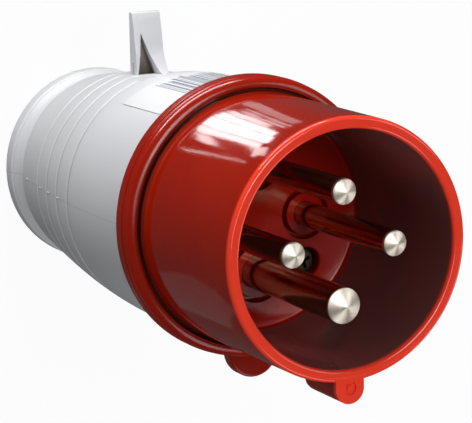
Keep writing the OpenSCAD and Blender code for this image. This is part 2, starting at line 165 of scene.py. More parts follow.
def arc(centre, radius, start, end, steps):
    """Points of an arc in an outline, between two angles in degrees."""
    angles = [radians(start + (end - start) * i / steps) for i in range(steps + 1)]
    return [(centre[0] + radius * cos(a), centre[1] + radius * sin(a)) for a in angles]


def traced(points):
    """Starts a mesh as one point, extrudes it from point to point and stays in edit mode."""
    bpy.ops.object.select_all(action="DESELECT")
    bpy.ops.mesh.primitive_plane_add(size=MM, location=[c * MM for c in points[0]])
    obj = settle(bpy.context.object)
    edit(obj)
    bpy.ops.mesh.select_all(action="SELECT")
    bpy.ops.mesh.merge(type="CENTER")
    for here, there in zip(points, points[1:]):
        bpy.ops.mesh.extrude_vertices_move(
            TRANSFORM_OT_translate={"value": [(b - a) * MM for a, b in zip(here, there)]})
    bpy.ops.mesh.select_all(action="SELECT")
    return obj


def turned(name, outline, centre=(0, 0), steps=RING):
    """Traces an outline of (radius, height) points and spins it about an upright axis."""
    x, y = centre
    points = [p for i, p in enumerate(outline) if i == 0 or hypot(
        p[0] - outline[i - 1][0], p[1] - outline[i - 1][1]) > SAME_POINT]
    if points[0][0] or points[-1][0]:
        points.append(points[0])  # only an outline that starts and ends on the axis stays open
    obj = traced([(x + radius, y, height) for radius, height in points])
    merge_doubles()
    bpy.ops.mesh.spin(
        steps=steps, angle=2 * pi, center=(x * MM, y * MM, 0), axis=(0, 0, 1), use_auto_merge=True)
    return close(obj, name)


# %% Helpers: bars and rods
def bar(name, low, high):
    """A box between two corners, the start of a piece that isn't round."""
    size = [(b - a) * MM for a, b in zip(low, high)]
    bpy.ops.object.select_all(action="DESELECT")
    bpy.ops.mesh.primitive_cube_add(
        size=1, location=[(a + b) / 2 * MM for a, b in zip(low, high)], scale=size)
    return named(settle(bpy.context.object), name)


def rod(name, centre, radius, low, high, steps):
    """An upright cylinder, the start of a tab, post or cutter."""
    bpy.ops.object.select_all(action="DESELECT")
    bpy.ops.mesh.primitive_cylinder_add(
        vertices=steps, radius=radius * MM, depth=(high - low) * MM,
        location=(centre[0] * MM, centre[1] * MM, (low + high) / 2 * MM))
    return named(settle(bpy.context.object), name)


# %% Helpers: modifiers and hand-over of a piece
def apply_modifier(piece, step):
    only(piece)
    bpy.ops.object.modifier_apply(modifier=step.name)


def combine(piece, tool, operation):
    """Adds a tool to a piece, or cuts it out of it, and removes the tool."""
    step = piece.modifiers.new(operation.lower(), "BOOLEAN")
    step.operation, step.object, step.solver = operation, tool, "EXACT"
    apply_modifier(piece, step)
    discard(tool)


def rounded(piece, width, segments, angle):
    """Rounds every edge sharper than an angle."""
    step = piece.modifiers.new("rounding", "BEVEL")
    step.width, step.segments, step.limit_method = width * MM, segments, "ANGLE"
    step.angle_limit = radians(angle)
    step.use_clamp_overlap = True
    apply_modifier(piece, step)


def shaded(piece, finish, body="root", stands_for=(), angle=32):
    """Smooths a piece, gives it its finish and slot, and lets it ride on its body."""
    only(piece)
    bpy.ops.object.shade_smooth_by_angle(angle=radians(angle))
    piece.data.materials.clear()
    piece.data.materials.append(finish)
    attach(piece, body)
    if stands_for:
        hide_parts(*stands_for)
    mesh = bmesh.new()
    mesh.from_mesh(piece.data)
    loose = sum(not edge.is_manifold for edge in mesh.edges)
    print(piece.name, "faces", len(mesh.faces), "open edges", loose)
    mesh.free()


# %% [markdown]
# ## Helpers for finishes
# A finish is a node tree. A small class wraps a socket, so that a mask can be written as a Python
# expression, and each operator adds its Math node. Colours are mixed with Mix nodes.

# %% Helpers: shader values
class Wire:
    """A shader value. Arithmetic on it adds Math nodes."""

    def __init__(self, finish, socket):
        self.finish, self.socket = finish, socket

    def math(self, operation, first, second=0.0):
        return self.finish.node(
            "ShaderNodeMath", {"operation": operation}, {0: first, 1: second})

    def __add__(self, other):
        return self.math("ADD", self, other)

    def __radd__(self, other):
        return self.math("ADD", other, self)

    def __sub__(self, other):
        return self.math("SUBTRACT", self, other)

    def __rsub__(self, other):
        return self.math("SUBTRACT", other, self)

    def __mul__(self, other):
        return self.math("MULTIPLY", self, other)

    def __rmul__(self, other):
        return self.math("MULTIPLY", other, self)

    def __pow__(self, other):
        return self.math("POWER", self, other)

    def __lt__(self, other):
        return self.math("LESS_THAN", self, other)

    def __gt__(self, other):
        return self.math("GREATER_THAN", self, other)

    def __abs__(self):
        return self.math("ABSOLUTE", self)

    def sine(self):
        return self.math("SINE", self)

    def floor(self):
        return self.math("FLOOR", self)

    def angle_to(self, other):
        return self.math("ARCTAN2", self, other)

    def rise(self, low, high):
        """0 before low, 1 past high, smooth between; it falls where low is the larger."""
        return self.finish.node(
            "ShaderNodeMapRange", {"interpolation_type": "SMOOTHSTEP"},
            {"Value": self, "From Min": low, "From Max": high})


# %% Helpers: finishes
class Finish:
    """A material, its shader and a way to add nodes to it."""

    def __init__(self, name, colour, roughness, **fixed):
        self.material = bpy.data.materials.new(name)
        self.material.use_nodes = True
        self.tree = self.material.node_tree
        self.tree.nodes.clear()
        self.shader = self.tree.nodes.new("ShaderNodeBsdfPrincipled")
        self.out = self.tree.nodes.new("ShaderNodeOutputMaterial")
        self.tree.links.new(self.shader.outputs[0], self.out.inputs[0])
        self.shader.inputs["Base Color"].default_value = (*colour, 1)
        self.shader.inputs["Roughness"].default_value = roughness
        for socket, value in fixed.items():
            self.shader.inputs[socket.replace("_", " ")].default_value = value
        self.material.diffuse_color = (*colour, 1)

    def node(self, kind, settings, values, output=0):
        """Adds a node: its settings first, then the values and links of its sockets."""
        node = self.tree.nodes.new(kind)
        for key, value in settings.items():
            setattr(node, key, value)
        for key, value in values.items():
            if isinstance(value, Wire):
                self.tree.links.new(value.socket, node.inputs[key])
            else:
                node.inputs[key].default_value = value
        return Wire(self, node.outputs[output])

    def coordinates(self, centre=(0, 0, 0)):
        """Object coordinates in millimetres about a centre."""
        raw = self.node("ShaderNodeTexCoord", {}, {}, "Object")
        return self.node("ShaderNodeMapping", {"vector_type": "POINT"}, {
            "Vector": raw, "Scale": (1 / MM,) * 3, "Location": tuple(-c for c in centre)})

    def axes(self, vector):
        """The three parts of a vector."""
        split = self.tree.nodes.new("ShaderNodeSeparateXYZ")
        self.tree.links.new(vector.socket, split.inputs[0])
        return [Wire(self, split.outputs[axis]) for axis in (X, Y, Z)]

    def noise(self, vector, scale, detail, roughness=0.55):
        """Cloudy noise between 0 and 1, with scale waves to a millimetre."""
        return self.node("ShaderNodeTexNoise", {"noise_dimensions": "3D"}, {
            "Vector": vector, "Scale": scale, "Detail": detail, "Roughness": roughness}, "Fac")

    def stretched(self, vector, scale):
        """Coordinates scaled by a different number along each axis."""
        return self.node("ShaderNodeVectorMath", {"operation": "MULTIPLY"}, {0: vector, 1: scale})

    def mix(self, mask, first, second):
        """A colour between two colours."""
        first, second = (c if isinstance(c, Wire) else (*c, 1) for c in (first, second))
        return self.node(
            "ShaderNodeMix", {"data_type": "RGBA"}, {0: mask, 6: first, 7: second}, 2)

    def bump(self, height, distance, strength):
        """Height in millimetres times distance, turned into a normal."""
        return self.node("ShaderNodeBump", {}, {
            "Height": height, "Distance": distance * MM, "Strength": strength})

    def feed(self, **links):
        """Links values to the shader's sockets and gives the material."""
        for socket, value in links.items():
            self.tree.links.new(value.socket, self.shader.inputs[socket.replace("_", " ")])
        return self.material


# %% [markdown]
# ## Camera
# The view is from the front left and well above the bench: it looks into the mouth and down on the
# handle. A long lens keeps the mouth's circle nearly true, and the plug lies a little below the
# middle of what the lens would frame, so the camera has a small upward shift. Two of its directions
# set how it is turned, and the third follows from them.

# %% Camera
CAMERA_PLACE = Vector((-203.766, 84.927, 476.81)) * MM
CAMERA_UP = Vector((0.112666, 0.975276, -0.190116))
CAMERA_BACK = Vector((-0.437857, 0.220486, 0.871589))
LENS, SHIFT_UP = 174.409, 0.17982
bpy.ops.object.select_all(action="DESELECT")
bpy.ops.object.camera_add(location=CAMERA_PLACE)
camera = bpy.context.object
camera.name = "camera"
turn = Matrix((CAMERA_UP.cross(CAMERA_BACK), CAMERA_UP, CAMERA_BACK)).transposed().to_4x4()
camera.matrix_world = Matrix.Translation(CAMERA_PLACE) @ turn
camera.data.lens, camera.data.shift_y = LENS, SHIFT_UP
camera.data.clip_start, camera.data.clip_end = 0.01, 20
bpy.context.scene.camera = camera
bpy.context.scene.view_settings.view_transform = "Standard"
print("lens", round(camera.data.lens, 1), "shift", round(camera.data.shift_y, 3))

# %% [markdown]
# ## Floor and world
# The floor is plain. A camera ray sees most of it as white and a little of it as a pale matt
# surface, so it still holds the plug's shadow. To gloss and to plain light the floor is dark, as a
# bench in a dim room is, because the plug's shiny red wall would mirror a white one as a grey haze.

# %% Floor
FLOOR_SIZE = 6  # metres
DARK_FLOOR, PALE_FLOOR = (0.05,) * 3, (0.95,) * 3
WHITE_SHARE, GLOSS_SHARE = 0.94, 0.03
bpy.ops.object.select_all(action="DESELECT")
bpy.ops.mesh.primitive_plane_add(size=FLOOR_SIZE, location=(0, 0, 0))
floor = bpy.context.object
floor.name = "floor"
matt = Finish("floor", DARK_FLOOR, 0.9, Specular_IOR_Level=0.0)
seen, glossy, clear = (matt.node("ShaderNodeLightPath", {}, {}, ray) for ray in (
    "Is Camera Ray", "Is Glossy Ray", "Is Transmission Ray"))
white = matt.node("ShaderNodeEmission", {}, {"Color": (1, 1, 1, 1), "Strength": 1.0})
share = seen * WHITE_SHARE + glossy * GLOSS_SHARE + clear * WHITE_SHARE
matt.feed(Base_Color=matt.mix(seen, DARK_FLOOR, PALE_FLOOR))
blend = matt.node("ShaderNodeMixShader", {}, {
    0: share, 1: Wire(matt, matt.shader.outputs[0]), 2: white})
matt.tree.links.new(blend.socket, matt.out.inputs[0])
floor.data.materials.append(matt.material)
print("floor", FLOOR_SIZE, "m wide")

# %% World
DIM_SKY, DIM_LIGHT, DIM_GLOSS = (0.93, 0.96, 1.0, 1), 0.21, 0.03
world = bpy.data.worlds.new("studio")
bpy.context.scene.world = world
world.use_nodes = True
nodes, links = world.node_tree.nodes, world.node_tree.links
nodes.clear()
out, dim, pale, chooser, rays, level = (nodes.new("ShaderNode" + kind) for kind in (
    "OutputWorld", "Background", "Background", "MixShader", "LightPath", "MapRange"))
dim.inputs["Color"].default_value = DIM_SKY
level.inputs["To Min"].default_value, level.inputs["To Max"].default_value = DIM_LIGHT, DIM_GLOSS
links.new(rays.outputs["Is Glossy Ray"], level.inputs["Value"])
links.new(level.outputs[0], dim.inputs["Strength"])
pale.inputs["Color"].default_value = (1, 1, 1, 1)
pale.inputs["Strength"].default_value = 1.0
links.new(rays.outputs["Is Camera Ray"], chooser.inputs[0])
links.new(dim.outputs[0], chooser.inputs[1])
links.new(pale.outputs[0], chooser.inputs[2])
links.new(chooser.outputs[0], out.inputs[0])
print("world strength for light", DIM_LIGHT, "and for gloss", DIM_GLOSS)

# %% [markdown]
# ## Lamps
# A tall soft box lights the fin's side and a square one the mouth. Two fills, which gloss can't
# see, lift the shadows of the left side and of the underside. The shine is set apart from the
# light: cards that lie on the floor are mirrored in the shroud's wall as the panes of a window, and
# four boxes round the mouth are mirrored in the cones of the pin tips. Only gloss sees these.

# %% Soft boxes
STRIP, PANEL = (0.5, 0.118), (0.3, 0.3)  # metres
WAIST, MOUTH = (0, 0, 0.06), (0, 0, 0.1)  # metres
SOFT_BOXES = {  # place in metres, target, size, level of light, distance, whether gloss sees it
    "key_box": ((-0.095, 0.49, 0.061), WAIST, STRIP, 1.19, 0.5, True),
    "mouth_box": ((0.03, 0.20, 0.75), MOUTH, PANEL, 0.36, 0.68, True),
    "side_fill": ((-0.495, 0.07, 0.061), WAIST, STRIP, 0.17, 0.5, False),
    "low_fill": ((0.10, -0.45, 0.45), MOUTH, PANEL, 0.3, 0.6, False)}


def soft_box(name, place, target, size, power, lights=True, glossy=True):
    """A rectangular lamp at place that faces target. Lengths are in metres."""
    bpy.ops.object.light_add(type="AREA", location=place)
    lamp = bpy.context.object
    lamp.name = name
    away = Vector(place) - Vector(target)
    lamp.rotation_euler = away.to_track_quat("Z", "Y").to_euler()
    lamp.data.shape = "RECTANGLE"
    lamp.data.size, lamp.data.size_y = size
    lamp.data.energy = power
    lamp.visible_camera, lamp.visible_diffuse, lamp.visible_glossy = False, lights, glossy
    print(name, "power", round(power, 5))


def lamp_power(level, distance):
    """The power that gives a level of light at a distance, 1 being a full plain level."""
    return level * pi * distance ** 2 * pi


for name, (place, target, size, light_level, distance, mirrored) in SOFT_BOXES.items():
    soft_box(name, place, target, size, lamp_power(light_level, distance), glossy=mirrored)


# %% Cards on the floor, seen by gloss alone
CARD_LIFT, CARD_AIM = 0.6, 200
CARDS = {  # low corner, high corner, radiance
    "card_dull": ((24, 58), (33, 80), 0.8),
    "card_line_right": ((19, 66), (21.5, 84), 1.6),
    "card_edge": ((14, 68), (17.5, 82), 2.2),
    "card_right": ((7, 67), (13, 79), 4.5),
    "card_wide": ((-2, 67), (6.2, 85), 7.5),
    "card_middle": ((-14.5, 66), (-2.8, 88), 8.5),
    "card_left": ((-23, 65), (-15.4, 84), 7.0),
    "card_corner": ((-33, 64.5), (-24, 69.5), 5.5),
    "card_line_left": ((-43, 56), (-41.4, 75), 4.0),
    "card_tongue": ((-36, 80), (-22, 92), 5.0),
    "card_low": ((-62, -78), (-18, -46), 0.08)}


def glow(name, place, target, size, radiance):
    """A soft box of a given radiance that only gloss can see. Lengths are in metres."""
    soft_box(name, place, target, size, radiance * pi * size[0] * size[1], lights=False)


for name, (low, high, radiance) in CARDS.items():
    size = [(b - a) * MM for a, b in zip(low, high)]
    spot = [(a + b) / 2 * MM for a, b in zip(low, high)]
    glow(name, (*spot, CARD_LIFT * MM), (*spot, CARD_AIM * MM), size, radiance)

# %% Boxes for the pin tips, seen by gloss alone
TIP_CENTRE, TIP_DISTANCE, TIP_BOX = (0, 0, 0.117), 0.5, (0.24, 0.24)  # metres
TIP_BOXES = {  # way from the mouth, radiance
    "tip_box_low": ((0.86, -0.43, 0.26), 2.0),
    "tip_box_high": ((-0.25, 0.125, 0.96), 2.1),
    "tip_box_back": ((0.717, 0.335, 0.609), 2.3),
    "tip_box_front": ((0.159, -0.775, 0.609), 2.1)}
for name, (way, radiance) in TIP_BOXES.items():
    place = Vector(way).normalized() * TIP_DISTANCE + Vector(TIP_CENTRE)
    glow(name, place, TIP_CENTRE, TIP_BOX, radiance)

# %% [markdown]
# ## The shroud
# The red part is one moulding: a thin wall round the pins, a base wall that carries them, a collar
# behind, a spigot that enters the handle, a key rib under the mouth and a half-round tab under the
# collar. Its round part could be stacked from cylinders, but spun from one outline it gets its
# roundings and its draft at once. The rib and the tab are added, and the pins' moats and the
# screws' hollows are cut.

# %% Shroud: sizes
OVERALL, SPIGOT_END = cad_side("shroud", HIGH, Z), cad_side("shroud", LOW, Z)
BACK, GROOVE_TOP = cad_side("cord_bridge", HIGH, Z), cad_side("seal_ring", HIGH, Z)
COLLAR_R = round(cad_side("shroud", HIGH, X) - 0.01, 2)
BASE, COLLAR, TRENCH_FLOOR = 81.0, 75.8, 79.7
FLANGE_TOP, NECK_TOP, MOAT_FLOOR, MOAT_WIDE = 77.5, 80.1, 79.0, 1.1
MOUTH_R, CAVITY_R, DRAFT, RIM = 25.0, 22.6, 0.3, 0.8
ROOT_R, BASE_R = MOUTH_R + DRAFT, CAVITY_R - DRAFT
SPIGOT_R, LIP_R, TRENCH_R = 23.5, 26.3, 26.0
PHASE_R, EARTH_R, FLANGE = 2.5, 3.5, 1.7
PIN_CIRCLE = round(cad_side("phase_pin_right", HIGH, X) - PHASE_R - FLANGE, 2)
PINS = {"phase_pin_left": (180, PHASE_R), "phase_pin_top": (90, PHASE_R),
        "phase_pin_right": (0, PHASE_R), "earth_pin": (270, EARTH_R)}
screw_x, screw_y = cad_middle("front_screw_1")
SCREW_CIRCLE = round(hypot(screw_x, screw_y), 1)
SCREW_ANGLE = round(degrees(atan2(screw_y, screw_x)))
SCREW_ANGLES = (SCREW_ANGLE, SCREW_ANGLE + 180)
SHANK_R, HEAD_R = 1.7, 2.7
print("collar", COLLAR_R, "pin circle", PIN_CIRCLE, "screws", SCREW_CIRCLE, SCREW_ANGLES)


# %% [markdown]
# ## Red plastic
# The shroud is glossy polyamide. Its roughness is low and drifts a little where hands have touched
# it, and a long faint grain runs along the wall as the mould left it. Shade is painted into its
# colour: a darker red in the trench round the wall's root and on the inner wall, whose tone also
# holds a painted grey haze of reflection. Light is painted in too: a lighter red on the base wall
# inside the mouth, and a bright red on the rim as a painted glow.

# %% Finish of the shroud
# the rim's colour is a painted glow of light through the wall
RED, RED_DRIFT, RIM_GLOW_RED = (0.32, 0.009, 0.001), (0.355, 0.012, 0.002), (0.96, 0.055, 0.025)
# painted shade: the colour that darkens the trench round the wall's root
TRENCH_SHADE = (0.09, 0.018, 0.010)
# painted light on the base wall inside the mouth, and painted shade with a painted grey reflection
# haze on the inner wall
BASE_WALL_LIGHT, INNER_WALL_SHADE = (0.46, 0.009, 0.002), (0.19, 0.072, 0.066)


def red_plastic():
    finish = Finish("red_plastic", RED, 0.16, IOR=1.5)
    spot = finish.coordinates()
    x, y, z = finish.axes(spot)
    ring = (x * x + y * y) ** 0.5
    flow = finish.noise(spot, 0.055, 4.0)
    body = finish.mix(flow.rise(0.3, 0.7), RED, RED_DRIFT)
    # painted shade: the trench and the foot of the wall just above it are darkened in colour
    trench_shade = z.rise(BASE + 2.6, BASE - 1.0) * z.rise(TRENCH_FLOOR - 0.8, TRENCH_FLOOR)
    trench_shade = trench_shade * (ring > ROOT_R - DRAFT) * (ring < TRENCH_R + 0.1)
    body = finish.mix(trench_shade * 0.8, body, TRENCH_SHADE)
    # painted light and shade inside the mouth: the base wall is lighter, the inner wall darker and
    # greyer
    hollow = (z > BASE - 0.5) * (ring < CAVITY_R + 0.4)
    cavity_light_and_shade = finish.mix(z.rise(BASE + 0.2, BASE + 2.0), BASE_WALL_LIGHT, INNER_WALL_SHADE)
    inside = finish.mix(hollow, body, cavity_light_and_shade)
    # painted light: the rim is painted a bright, glowing red
    colour = finish.mix(z.rise(OVERALL - 1.4, OVERALL - 0.4), inside, RIM_GLOW_RED)
    touch = finish.noise(spot, 0.6, 5.0, 0.62)
    collar = ring > LIP_R - 0.1
    rough = touch.rise(0.35, 0.75) * 0.04 + 0.065 + collar * 0.12 + hollow * 0.07
    drawn = finish.noise(finish.stretched(spot, (1, 1, 0.025)), 0.8, 3.0, 0.6)
    waves = finish.noise(spot, 0.12, 2.0) + drawn * (ring > MOUTH_R - 1.0) * 0.5
    return finish.feed(Base_Color=colour, Roughness=rough, Normal=finish.bump(waves, 0.05, 0.6))


red = red_plastic()
print("made", red.name)


# %% Shroud: outline
def drafted(radius, low, high, steps=6):
    """The points between the ends of a wall that leans inwards by the draft."""
    return [(radius - DRAFT * i / steps, low + (high - low) * i / steps) for i in range(1, steps)]


shroud = turned("red_shroud", [
    (0, BACK), (21.5, BACK), (21.5, SPIGOT_END), (23.0, SPIGOT_END), (SPIGOT_R, SPIGOT_END + 0.5),
    (SPIGOT_R, GROOVE_TOP), (LIP_R, GROOVE_TOP), (LIP_R, COLLAR),
    *arc((COLLAR_R - 0.4, COLLAR + 0.4), 0.4, -90, 0, 4),
    (COLLAR_R, COLLAR + 2.5), (COLLAR_R - 0.22, COLLAR + 2.7), (COLLAR_R - 0.16, COLLAR + 3.0),
    *arc((COLLAR_R - 2, BASE - 1.9), 1.9, 10, 90, 10),
    *arc((TRENCH_R - 0.1, BASE - 0.4), 0.3, 60, 0, 3), (TRENCH_R, TRENCH_FLOOR + 0.2),
    (TRENCH_R - 0.2, TRENCH_FLOOR), (ROOT_R + 0.2, TRENCH_FLOOR), (ROOT_R, TRENCH_FLOOR + 0.2),
    (ROOT_R, BASE + 0.6), *drafted(ROOT_R, BASE + 0.6, OVERALL - RIM),
    *arc((MOUTH_R - RIM, OVERALL - RIM), RIM, 0, 90, 8),
    *arc((CAVITY_R + RIM, OVERALL - RIM), RIM, 90, 180, 8),
    *drafted(CAVITY_R, OVERALL - RIM, BASE + 0.5),
    *arc((BASE_R - 0.5, BASE + 0.5), 0.5, 0, -90, 5), (0, BASE)])
print("shroud faces", len(shroud.data.polygons))

# %% [markdown]
# ## Key rib and tab
# The rib under the mouth lets the plug enter its socket one way only. It is a rod whose outer half
# is kept, stretched to the wall and rounded at its rear end by a fan of flat cuts. The tab is
# a lug for the lid of the socket to hook on: a plain rounded disc, half sunk in the collar.

# %% Key rib
KEY_CROWN, KEY_HALF, KEY_REAR, KEY_ROUNDING, KEY_CUTS = -29.2, 3.0, 106.0, 2, 8
KEY_REACH = 2.4
rib = rod("rib", (0, KEY_CROWN + KEY_HALF), KEY_HALF, KEY_REAR, OVERALL, 96)
edit(rib)
bpy.ops.mesh.select_all(action="SELECT")
bpy.ops.mesh.bisect(plane_co=(0, (KEY_CROWN + KEY_HALF) * MM, 0), plane_no=(0, 1, 0),
                    clear_outer=True, use_fill=True)
pick(rib, "faces", lambda f: f.normal.y > 0.9
     and f.calc_center_median().y > (KEY_CROWN + KEY_HALF - 0.1) * MM)
bpy.ops.mesh.extrude_region_move(TRANSFORM_OT_translate={"value": (0, KEY_REACH * MM, 0)})
for cut in range(KEY_CUTS):
    a = radians(90 * (cut + 0.5) / KEY_CUTS)
    inwards, upwards = KEY_ROUNDING * (1 - cos(a)), KEY_ROUNDING * (1 - sin(a))
    bpy.ops.mesh.select_all(action="SELECT")
    bpy.ops.mesh.bisect(
        plane_co=(0, (KEY_CROWN + inwards) * MM, (KEY_REAR + upwards) * MM),
        plane_no=(0, -cos(a), -sin(a)), clear_outer=True, use_fill=True)
close(rib, "rib")
combine(shroud, rib, "UNION")
print("key rib added, shroud faces", len(shroud.data.polygons))

# %% Tab
TAB_R, TAB_THICK = 5.5, 3.3
TAB_Y = round(cad_side("shroud", LOW, Y) + TAB_R, 2)
tab = rod("tab", (0, TAB_Y), TAB_R, COLLAR, COLLAR + TAB_THICK, 96)
rounded(tab, 0.5, 4, 60)
combine(shroud, tab, "UNION")
print("tab added, shroud faces", len(shroud.data.polygons))

# %% [markdown]
# ## Cuts in the shroud
# Each pin stands in a hole with a flange pocket behind it and a narrow moat round its sleeve. The
# front screws lie in stepped hollows. Each cutter is turned like the piece that fills it, and is a
# little wider, so that their sides don't touch.


# %% Pin seats
def seat_cutters(centre, radius):
    """The hole with its flange pocket, and the moat, of one pin."""
    pocket, hole, sleeve = radius + FLANGE + 0.1, radius + 0.35, radius + 1.65
    bore = turned("bore", [
        (0, BACK - 1), (pocket, BACK - 1), (pocket, FLANGE_TOP), (hole, FLANGE_TOP),
        (hole, NECK_TOP + 0.1), (radius + 0.05, NECK_TOP + 0.1), (radius + 0.05, BASE + 1),
        (0, BASE + 1)], centre, 96)
    moat = turned("moat", [
        (sleeve, BASE + 1), (sleeve, MOAT_FLOOR + 0.3), (sleeve + 0.3, MOAT_FLOOR),
        (sleeve + MOAT_WIDE - 0.3, MOAT_FLOOR), (sleeve + MOAT_WIDE, MOAT_FLOOR + 0.3),
        (sleeve + MOAT_WIDE, BASE + 1)], centre, 96)
    return bore, moat


for pin_angle, pin_radius in PINS.values():
    for cutter in seat_cutters(on_circle(PIN_CIRCLE, pin_angle), pin_radius):
        combine(shroud, cutter, "DIFFERENCE")
print("pin seats cut, shroud faces", len(shroud.data.polygons))

# %% Screw hollows, bridge hole and the ring mark on the rib
BRIDGE_HOLE_R, BRIDGE_HOLE_TOP, MARK_R, MARK_CORE_R, MARK_DEEP = 1.55, 79.5, 1.32, 0.6, 0.3
for a in SCREW_ANGLES:
    hollow = turned("hollow", [
        (0, BACK - 1), (SHANK_R + 0.1, BACK - 1), (SHANK_R + 0.1, FLANGE_TOP),
        (HEAD_R + 0.3, FLANGE_TOP), (HEAD_R + 0.3, BASE - 0.2), (HEAD_R + 0.6, BASE + 0.1),
        (HEAD_R + 0.6, BASE + 1), (0, BASE + 1)], on_circle(SCREW_CIRCLE, a), 72)
    combine(shroud, hollow, "DIFFERENCE")
bridge_hole = rod("bridge_hole", (0, 0), BRIDGE_HOLE_R, BACK - 1, BRIDGE_HOLE_TOP, 48)
combine(shroud, bridge_hole, "DIFFERENCE")
core_top, mark_floor = OVERALL - MARK_DEEP / 2, OVERALL - MARK_DEEP
mark = turned("mark", [
    (MARK_CORE_R, OVERALL + 1), (MARK_CORE_R, core_top), (0, core_top), (0, mark_floor),
    (MARK_R, mark_floor), (MARK_R, OVERALL + 1)], (0, KEY_CROWN + KEY_HALF), 64)
combine(shroud, mark, "DIFFERENCE")
shaded(shroud, red, stands_for=["shroud"])


# %% [markdown]
# ## Nickel-plated brass
# The pins are turned brass under a thin nickel plate, and the tool has left fine rings on their
# tips. The rings follow each pin's own axis, so every pin has its own copy of the finish. The
# shanks are painted a darker brown as painted shade, because they stand deep in the red mouth.

# %% Finish of the pins
CONE_EDGE = -1.5  # the height, counted from the tip, where the shank begins
PLATE, PLATE_DRIFT = (0.97, 0.90, 0.78), (0.93, 0.85, 0.71)
# painted shade: the shanks' darker brown stands for the shade deep in the mouth
SHANK_SHADE, SHANK_SHADE_DRIFT = (0.50, 0.36, 0.19), (0.40, 0.28, 0.14)


def nickel_brass(name, centre):
    """Turned metal with tool rings about the pin's own axis."""
    finish = Finish(name, PLATE, 0.24, Metallic=1.0)
    spot = finish.coordinates(centre)
    x, y, z = finish.axes(spot)
    ring = (x * x + y * y) ** 0.5
    tip = z.rise(CONE_EDGE - 0.4, CONE_EDGE)
    groove = (ring * 26.0 + finish.noise(spot, 1.2, 2.0) * 2.0).sine()
    haze = finish.noise(spot, 0.5, 4.0)
    cloud = haze.rise(0.3, 0.75)
    plate = finish.mix(cloud, PLATE, PLATE_DRIFT)
    # painted shade on the shanks
    shaded_shank = finish.mix(cloud, SHANK_SHADE, SHANK_SHADE_DRIFT)
    return finish.feed(
        Base_Color=finish.mix(tip, shaded_shank, plate), Roughness=haze * 0.08 + 0.10 + tip * 0.24,
        Normal=finish.bump(groove * tip, 0.012, 0.7))


# %% [markdown]
# ## Pins
# Each pin is turned from bar: a cone on the tip, a shank, a neck that the moulding holds, a flange
# and a terminal with a wire hole and a flat for its screw. One phase pin and the earth pin are
# modelled, and the others are copies. The cutters are turned by SKEW, so that their edges never
# run through a point of the pin and leave an open seam, and the thread hole is moved by SHIFT.

# %% Model of a pin
TIP, PIN_REAR = cad_side("earth_pin", HIGH, Z), cad_side("earth_pin", LOW, Z)
CONE, SKEW, PIN_STEPS = 0.42, 0.35, 95
TERMINAL = {PHASE_R: (3.6, 1.6), EARTH_R: (4.4, 1.9)}  # radius of the terminal, of its wire hole
SCREW_Z = (cad_side("terminal_screw_top", LOW, Z) + cad_side("terminal_screw_top", HIGH, Z)) / 2
THREAD_HOLE_R, WIRE_DEEP, FLAT_HALF, SHIFT = 1.65, 9.02, 2.8, 0.03


def pin_model(r):
    """A pin that stands at angle 0 on the pin circle."""
    terminal, wire = TERMINAL[r]
    centre = on_circle(PIN_CIRCLE, 0)
    shoulder = TIP - r * CONE
    pin = turned("pin", [
        (0, PIN_REAR), (terminal - 0.4, PIN_REAR), (terminal, PIN_REAR + 0.4), (terminal, BACK),
        (r + FLANGE, BACK), (r + FLANGE, FLANGE_TOP), (r + 0.3, FLANGE_TOP), (r + 0.3, NECK_TOP),
        (r, NECK_TOP), (r, shoulder - 0.3), *arc((r - 0.35, shoulder - 0.25), 0.35, 0, 62, 5),
        (0.25, TIP - 0.05), (0, TIP)], centre, PIN_STEPS)
    wire_hole = rod("wire_hole", centre, wire, PIN_REAR - 1, PIN_REAR + WIRE_DEEP, 47)
    combine(pin, wire_hole, "DIFFERENCE")
    thread_hole = (PIN_CIRCLE + terminal / 2 + 0.37, 0, SCREW_Z + SHIFT)
    bpy.ops.object.select_all(action="DESELECT")
    bpy.ops.mesh.primitive_cylinder_add(
        vertices=46, radius=THREAD_HOLE_R * MM, depth=terminal * MM,
        location=[c * MM for c in thread_hole], rotation=(0, pi / 2, radians(2 * SKEW)))
    combine(pin, settle(bpy.context.object), "DIFFERENCE")
    outer = PIN_CIRCLE + terminal
    flat = bar("flat", (outer - 0.3, -6, SCREW_Z - FLAT_HALF), (outer + 3, 6, SCREW_Z + FLAT_HALF))
    flat.rotation_euler = (0, 0, radians(SKEW))
    combine(pin, settle(flat), "DIFFERENCE")
    return pin


# %% Pins
models = {r: pin_model(r) for r in (PHASE_R, EARTH_R)}
for name, (pin_angle, r) in PINS.items():
    pin = copy_of(models[r], name + "_turned", turn=pin_angle)
    brass = nickel_brass("nickel_brass_" + name, (*on_circle(PIN_CIRCLE, pin_angle), TIP))
    shaded(pin, brass, stands_for=[name])
for model in models.values():
    discard(model)


# %% [markdown]
# ## Plain finishes
# The small and hidden pieces share one kind of finish: a fine satin grain and a slow drift between
# two tones. A flat colour would look like paint, and the grain is what a mould or a plating bath
# leaves on the real ones.

# %% Finishes of the small and hidden pieces
def satin(name, colour, second, roughness, scale, depth, metallic=0.0):
    finish = Finish(name, colour, roughness, Metallic=metallic)
    spot = finish.coordinates()
    grain = finish.noise(spot, scale, 4.0, 0.6)
    drift = finish.noise(spot, 0.11, 3.0)
    return finish.feed(
        Base_Color=finish.mix(drift.rise(0.3, 0.7), colour, second),
        Roughness=grain * 0.18 + (roughness - 0.09), Normal=finish.bump(grain, depth, 0.6))


